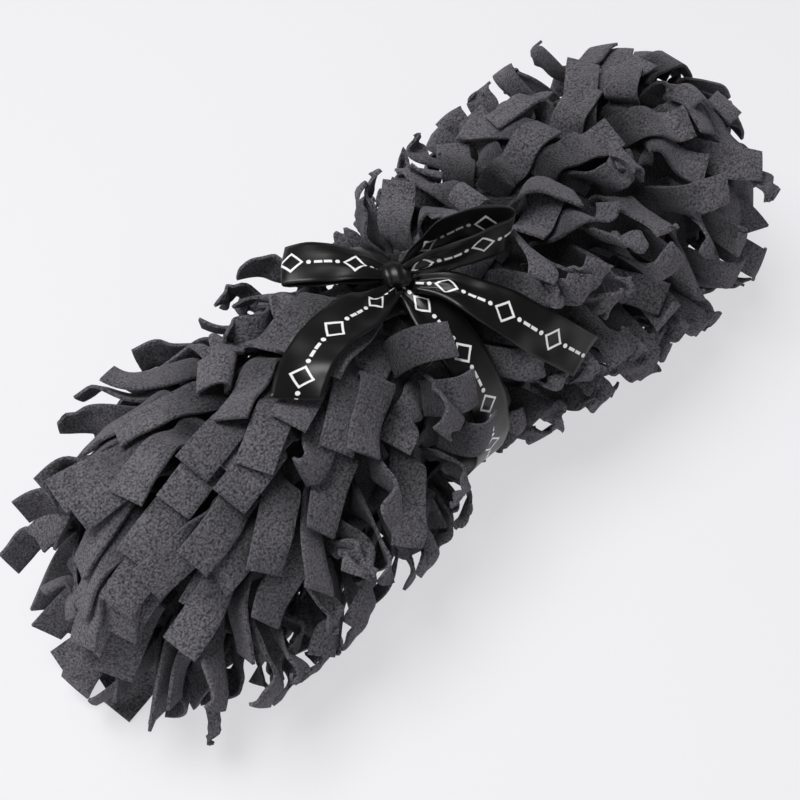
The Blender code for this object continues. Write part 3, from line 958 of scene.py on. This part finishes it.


# %% [markdown]
# ## Charcoal fleece
# Fleece is knitted polyester whose face is brushed up and sheared, so it has no weave to see. What shows is a
# fine pebbled nap, its grain painted lighter where the pebbles rise and darker in the pits between, as light
# catches their tips and shade lies between them; soft patches where the nap lies one way or another; and a
# small difference in tone from strip to strip. It is matt, with a faint sheen at grazing angles. Little light
# gets down to where it is sewn, so shade is painted into its colour, darker towards each strip's root.

# %% Charcoal fleece
NAP_GRAIN = 0.0019  # real nap pebbles are about 1 mm, drawn coarser so that they show
NAP_PATCH = 0.022
PEBBLE_SHARE = -0.35
fleece, tree = new_material("charcoal_fleece")
place = add_node(tree, "ShaderNodeTexCoord").outputs["Object"]
grain = add_node(
    tree, "ShaderNodeTexNoise",
    {"Vector": place, "Scale": 1 / NAP_GRAIN, "Detail": 3.0, "Roughness": 0.7}, noise_dimensions="3D",
)
pebbles = add_node(tree, "ShaderNodeTexVoronoi", {"Vector": place, "Scale": 1 / NAP_GRAIN, "Randomness": 1.0})
patches = add_node(tree, "ShaderNodeTexNoise", {"Vector": place, "Scale": 1 / NAP_PATCH, "Detail": 2.0})
dye = add_node(tree, "ShaderNodeAttribute", attribute_name="dye")
nap = add_node(
    tree, "ShaderNodeMath",
    {0: pebbles.outputs["Distance"], 1: PEBBLE_SHARE, 2: grain.outputs["Fac"]}, operation="MULTIPLY_ADD",
)
# Grain and painted light at once: the colour is lighter where the nap's bump rises and darker in the pits
# between.
nap_shade = add_node(
    tree, "ShaderNodeMapRange",
    {"Value": nap.outputs[0], "From Min": 0.12, "From Max": 0.50, "To Min": 0.0, "To Max": 1.0},
)
napped = add_node(
    tree, "ShaderNodeMix",
    {"Factor": nap_shade.outputs[0], "A": hex_colour("#2C2B2E"), "B": hex_colour("#747277")},
    data_type="RGBA",
)
patch_shade = add_node(
    tree, "ShaderNodeMapRange",
    {"Value": patches.outputs["Fac"], "From Min": 0.3, "From Max": 0.7, "To Min": 0.90, "To Max": 1.08},
)
dye_shade = add_node(
    tree, "ShaderNodeMapRange",
    {"Value": dye.outputs["Fac"], "From Min": 0.0, "From Max": 1.0, "To Min": 0.90, "To Max": 1.08},
)
# Painted shade: the colour darkens towards each strip's root, to a tenth of it where the strip is sewn.
reach = add_node(tree, "ShaderNodeAttribute", attribute_name="reach")
painted_root_shade = add_node(
    tree, "ShaderNodeMapRange",
    {"Value": reach.outputs["Fac"], "From Min": 0.15, "From Max": 0.70, "To Min": 0.10, "To Max": 1.0},
)
shade = patch_shade
for more in (dye_shade, painted_root_shade):
    shade = add_node(
        tree, "ShaderNodeMath", {0: shade.outputs[0], 1: more.outputs[0]}, operation="MULTIPLY"
    )
shaded = add_node(
    tree, "ShaderNodeVectorMath", {0: napped.outputs["Result"], 1: shade.outputs[0]}, operation="MULTIPLY"
)
bump = add_node(tree, "ShaderNodeBump", {"Height": nap.outputs[0], "Strength": 1.0, "Distance": 0.0020})
shader = add_node(tree, "ShaderNodeBsdfPrincipled", {
    "Base Color": shaded.outputs["Vector"], "Roughness": 0.95, "Specular IOR Level": 0.2,
    "Sheen Weight": 0.25, "Sheen Roughness": 0.5, "Sheen Tint": hex_colour("#C8C4CE"),
    "Normal": bump.outputs["Normal"],
})
finish_material(tree, shader)

# %% [markdown]
# ## Black satin, with a printed row
# Satin ribbon is woven so that smooth threads float on its face: black, with soft broad highlights that
# follow its folds. It is printed in white, down the middle. The print here is a plain row of open diamonds,
# dots and dashes, drawn from each sheet's own along and across numbers, which are metres on the flat ribbon,
# so it bends with it.

# %% Black satin
PRINT_REPEAT = 0.050
DIAMOND_OUTER, DIAMOND_INNER = 0.0098, 0.0072
DOT_AT, DOT_RADIUS = 0.0138, 0.0019
DASH_AT, DASH_HALF_LENGTH, DASH_HALF_WIDTH = 0.0212, 0.0032, 0.0013
THREAD = 0.0007  # the floats are far finer, drawn coarse enough to soften the highlight
satin, tree = new_material("black_satin")


def number(operation, first, second=None, third=None):
    """The output of a Math node in the satin's tree."""
    inputs = {i: value for i, value in enumerate((first, second, third)) if value is not None}
    return add_node(tree, "ShaderNodeMath", inputs, operation=operation).outputs[0]


along = add_node(tree, "ShaderNodeAttribute", attribute_name="along").outputs["Fac"]
across = add_node(tree, "ShaderNodeAttribute", attribute_name="across").outputs["Fac"]
in_repeat = number("ABSOLUTE", number("SUBTRACT", number("MODULO", along, PRINT_REPEAT), PRINT_REPEAT / 2))
off_middle = number("ABSOLUTE", across)
from_centre = number("ADD", in_repeat, off_middle)
inside_outline = number("LESS_THAN", from_centre, DIAMOND_OUTER)
diamond = number("MULTIPLY", inside_outline, number("GREATER_THAN", from_centre, DIAMOND_INNER))
from_dot = number("POWER", number("SUBTRACT", in_repeat, DOT_AT), 2.0)
dot_distance = number("SQRT", number("ADD", from_dot, number("POWER", off_middle, 2.0)))
dot = number("LESS_THAN", dot_distance, DOT_RADIUS)
in_dash_row = number("LESS_THAN", off_middle, DASH_HALF_WIDTH)
dash = number("MULTIPLY", in_dash_row, number("COMPARE", in_repeat, DASH_AT, DASH_HALF_LENGTH))
printed = number("MAXIMUM", number("MAXIMUM", diamond, dot), dash)
satin_colour = add_node(
    tree, "ShaderNodeMix",
    {"Factor": printed, "A": hex_colour("#0C0C0D"), "B": hex_colour("#E9E9EA")}, data_type="RGBA",
)
place = add_node(tree, "ShaderNodeTexCoord").outputs["Object"]
floats = add_node(tree, "ShaderNodeTexNoise", {"Vector": place, "Scale": 1 / THREAD, "Detail": 1.0})
bump = add_node(
    tree, "ShaderNodeBump", {"Height": floats.outputs["Fac"], "Strength": 0.08, "Distance": 0.0002}
)
shader = add_node(tree, "ShaderNodeBsdfPrincipled", {
    "Base Color": satin_colour.outputs["Result"], "Roughness": 0.36, "Specular IOR Level": 0.38,
    "Sheen Weight": 0.03, "Sheen Roughness": 0.4, "Normal": bump.outputs["Normal"],
})
finish_material(tree, shader)

# %% [markdown]
# ## Dress the pieces
# Each piece gets its finish and is attached to the roll's body, and the construction part that it stands for
# is hidden. The strips of one piece were cut one after another from a tape as wide as a strip, so their flat
# size is that width by all their lengths end to end.

# %% Dress the fleece
for piece, cut_length in pieces:
    piece.data.materials.append(fleece)
    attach(piece, "root")
    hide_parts("mat_roll")
base.data.materials.append(fleece)
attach(base, "root")
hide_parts("mat_roll")
print("fleece on the base and", len(pieces), "pieces of strips")

# %% Dress the ribbon
RIBBON_PARTS = {
    "band": ("ribbon_band", "draped", base),
    "loop_left": ("bow_loop_left", "gathered", knot),
    "loop_right": ("bow_loop_right", "gathered", knot),
    "tail_left": ("bow_tail_left", "draped", pieces[0][0]),
    "tail_right": ("bow_tail_right", "draped", pieces[-1][0]),
}
for part, (node, held, below) in RIBBON_PARTS.items():
    sheet, cut_length = ribbon_sheets[part]
    sheet.data.materials.append(satin)
    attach(sheet, "root")
    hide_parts(node)
knot.data.materials.append(satin)
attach(knot, "root")
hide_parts("bow_knot")
print("satin on the knot and", len(RIBBON_PARTS), "sheets of ribbon")

# %% [markdown]
# ## Floor and lights
# Dark cloth on a pale floor shows best in a light tent, where light comes from all round and shadows stay
# faint. A tent could be built from glowing walls. A floor that glows a little itself does the same with less
# to render, with one large soft light high at the back left, a wide weak one at the front, and a faint sky
# that is lighter towards the horizon.

# %% Lay the floor
FLOOR_GLOW = 0.62
PAPER_GRAIN = 0.0015
FLOOR_SIZE = 30
paper, tree = new_material("white_paper")
place = add_node(tree, "ShaderNodeTexCoord").outputs["Object"]
fibres = add_node(tree, "ShaderNodeTexNoise", {"Vector": place, "Scale": 1 / PAPER_GRAIN, "Detail": 2.0})
tooth = add_node(
    tree, "ShaderNodeBump", {"Height": fibres.outputs["Fac"], "Strength": 0.05, "Distance": 0.0002}
)
shader = add_node(tree, "ShaderNodeBsdfPrincipled", {
    "Base Color": hex_colour("#8E8E90"), "Roughness": 0.9, "Normal": tooth.outputs["Normal"],
    "Emission Color": hex_colour("#FDFCFF"), "Emission Strength": FLOOR_GLOW,
})
finish_material(tree, shader)
bpy.ops.object.select_all(action="DESELECT")
bpy.ops.mesh.primitive_plane_add(size=FLOOR_SIZE, location=(0, 0, 0))
floor = bpy.context.object
floor.name = "floor"
floor.data.materials.append(paper)
floor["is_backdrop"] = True
print("floor", FLOOR_SIZE, "m square")

# %% Light it
HORIZON_LIGHT, TOP_LIGHT, SKY_TURN = 0.62, 0.12, 0.30
KEY_AT, KEY_SIZE, KEY_POWER = (-0.7, 0.6, 2.9), 1.9, 86
FILL_AT, FILL_SIZE, FILL_POWER = (-1.6, -1.4, 1.5), 1.6, 6
LIT_AT = Vector((0, 0, 0.1))


def add_light(name, at, size, power):
    """Adds a round soft light that faces the roll."""
    facing = (Vector(at) - LIT_AT).to_track_quat("Z", "Y").to_euler()
    bpy.ops.object.light_add(type="AREA", location=at, rotation=facing)
    light = bpy.context.object
    light.name = name
    light.data.shape, light.data.size, light.data.energy = "DISK", size, power
    print(name, power, "W")


add_light("key_light", KEY_AT, KEY_SIZE, KEY_POWER)
add_light("fill_light", FILL_AT, FILL_SIZE, FILL_POWER)
world = bpy.data.worlds.new("studio")
world.use_nodes = True
tree = world.node_tree
direction = add_node(tree, "ShaderNodeTexCoord").outputs["Generated"]
height = add_node(tree, "ShaderNodeSeparateXYZ", {"Vector": direction}).outputs["Z"]
sky = add_node(tree, "ShaderNodeMapRange", {
    "Value": height, "From Min": 0.0, "From Max": SKY_TURN, "To Min": HORIZON_LIGHT, "To Max": TOP_LIGHT,
})
tree.nodes["Background"].inputs["Color"].default_value = hex_colour("#FDFCFF")
tree.links.new(sky.outputs[0], tree.nodes["Background"].inputs["Strength"])
bpy.context.scene.world = world
bpy.context.scene.view_settings.view_transform = "Standard"

# %% [markdown]
# ## Print the sizes and finish
# Cloth may stand a little proud of the construction model. Both boxes, the construction model's and the
# visual one, are printed.

# %% Print the two boxes
boxes = {"cad": cad_box, "visual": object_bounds()}
sizes = {name: [[float(value) for value in corner] for corner in box] for name, box in boxes.items()}
print(sizes)
